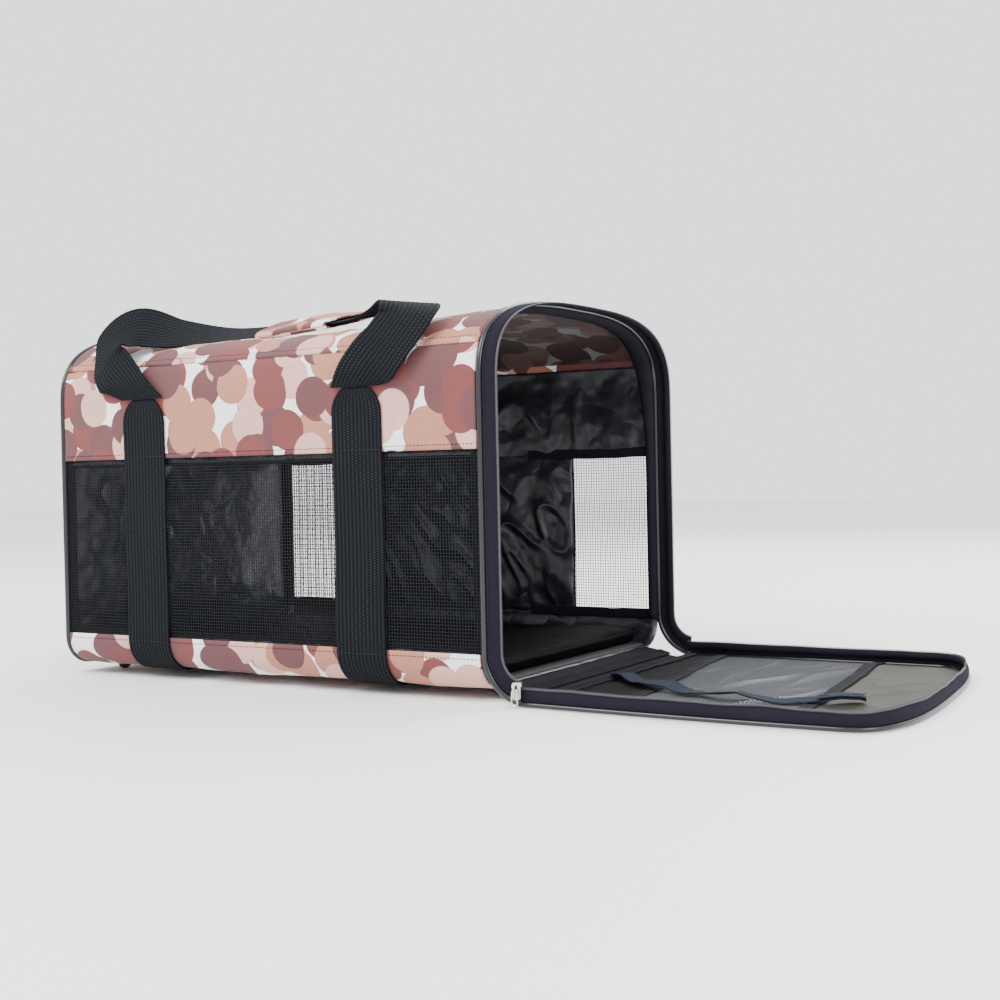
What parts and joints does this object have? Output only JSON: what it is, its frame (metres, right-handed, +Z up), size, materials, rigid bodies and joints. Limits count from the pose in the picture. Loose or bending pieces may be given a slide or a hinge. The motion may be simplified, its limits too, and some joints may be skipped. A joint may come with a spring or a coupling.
{
  "type": "pet transport carrier",
  "caption": "Soft-sided pet carrier: box bag with arched top, mesh windows, webbing handles, padded floor mat and a zipped arched front door that folds down flat.",
  "frame": {"origin": "on the ground under the middle of the carrier's outer box, with the door lying open", "axes": "+X towards the front door, +Z up, -Y the side with the long mesh window"},
  "size_m": [0.7516, 0.3288, 0.3261],
  "materials": {
    "printed_fabric": "woven polyester printed with overlapping discs in pinks, tans and browns on white",
    "webbing": "matt ribbed dark slate webbing",
    "black_nylon": "thin glossy wrinkled black nylon",
    "window_mesh": "open square mesh of coated thread",
    "gusset_fabric": "matt purple-black woven polyester",
    "piping_vinyl": "glossy black vinyl cord piping",
    "coated_lining": "taupe coated polyester",
    "mat_fabric": "quilted black polyester over foam",
    "board": "stiff black sheet board",
    "spring_wire": "drawn spring steel wire",
    "nickel": "bright nickel plated zinc",
    "zip_coil": "black nylon coil",
    "foot_plastic": "moulded black plastic"
  },
  "bodies": {
    "carrier_body": {"near_upper_band": "printed_fabric", "far_upper_band": "printed_fabric", "near_lower_band": "printed_fabric", "far_lower_band": "printed_fabric", "top_panel": "printed_fabric", "bottom_panel": "printed_fabric", "back_panel": "printed_fabric", "back_body_strap": "webbing", "front_body_strap": "webbing", "far_pocket_binding": "webbing", "near_upper_lining": "black_nylon", "far_upper_lining": "black_nylon", "back_lining": "black_nylon", "far_pocket_wall": "black_nylon", "far_storage_pocket": "black_nylon", "near_mesh_window": "window_mesh", "far_back_mesh_window": "window_mesh", "far_front_mesh_window": "window_mesh", "front_gusset": "gusset_fabric", "front_sill": "gusset_fabric", "front_piping": "piping_vinyl", "back_piping": "piping_vinyl", "base_board": "board", "front_hoop": "spring_wire", "back_hoop": "spring_wire", "front_zip_coil": "zip_coil", "foot_back_near": "foot_plastic", "foot_back_far": "foot_plastic", "foot_front_near": "foot_plastic", "foot_front_far": "foot_plastic"},
    "door": {"door_lower_panel": "coated_lining", "door_mesh_window": "window_mesh", "door_tip_panel": "coated_lining", "door_first_binding": "webbing", "door_second_binding": "webbing", "door_hinge_binding": "webbing", "door_piping": "piping_vinyl", "door_gusset": "gusset_fabric", "door_zip_coil": "zip_coil", "door_tie_strap": "webbing"},
    "near_handle": {"near_handle": "webbing", "handle_wrap": "printed_fabric"},
    "far_handle": {"far_handle": "webbing"},
    "floor_mat": {"floor_mat": "mat_fabric"},
    "zip_slider": {"zip_slider": "nickel", "slider_bow": "nickel"},
    "pull_tab": {"pull_tab": "nickel"}
  },
  "joints": [
    {"name": "door_hinge", "type": "hinge", "parent": "carrier_body", "child": "door", "pos_m": [0.0973, 0, 0], "axis": [0, -1, 0], "range_deg": [0, 90]},
    {"name": "near_handle_fold", "type": "hinge", "parent": "carrier_body", "child": "near_handle", "pos_m": [-0.1532, -0.16, 0.24015], "axis": [1, 0, 0], "range_deg": [0, 150]},
    {"name": "far_handle_fold", "type": "hinge", "parent": "carrier_body", "child": "far_handle", "pos_m": [-0.1532, 0.16, 0.24015], "axis": [-1, 0, 0], "range_deg": [0, 150]},
    {"name": "mat_lift", "type": "hinge", "parent": "carrier_body", "child": "floor_mat", "pos_m": [-0.3642, 0, 0.0135], "axis": [0, -1, 0], "range_deg": [0, 25]},
    {"name": "slider_travel", "type": "slide", "parent": "carrier_body", "child": "zip_slider", "axis": [-0.072, 0, 0.9974], "range_m": [0, 0.205]},
    {"name": "pull_swing", "type": "hinge", "parent": "zip_slider", "child": "pull_tab", "pos_m": [0.0963, -0.1617, 0.014], "axis": [-1, 0, 0], "range_deg": [0, 160]}
  ]
}
